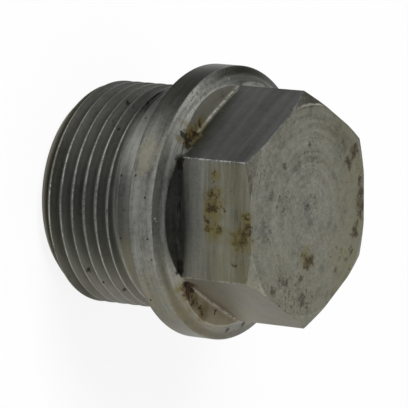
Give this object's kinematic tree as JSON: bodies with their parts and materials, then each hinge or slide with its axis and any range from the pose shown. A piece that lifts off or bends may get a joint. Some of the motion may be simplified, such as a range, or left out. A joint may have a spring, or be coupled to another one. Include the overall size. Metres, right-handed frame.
{
  "type": "hex head plug",
  "caption": "Screw plug in one piece of steel: hexagon head, sealing collar and a short threaded shank, for closing a threaded port.",
  "frame": {"origin": "centre of the thread's end face, which the plug stands on", "axes": "+Z along the screw axis, from the thread end to the hexagon; one flat of the hexagon faces -Y"},
  "size_m": [0.029, 0.029, 0.0267],
  "materials": {
    "steel": "bare turned and milled steel, oily grey, with rust stains"
  },
  "bodies": {
    "root": {"plug": "steel"}
  },
  "joints": []
}
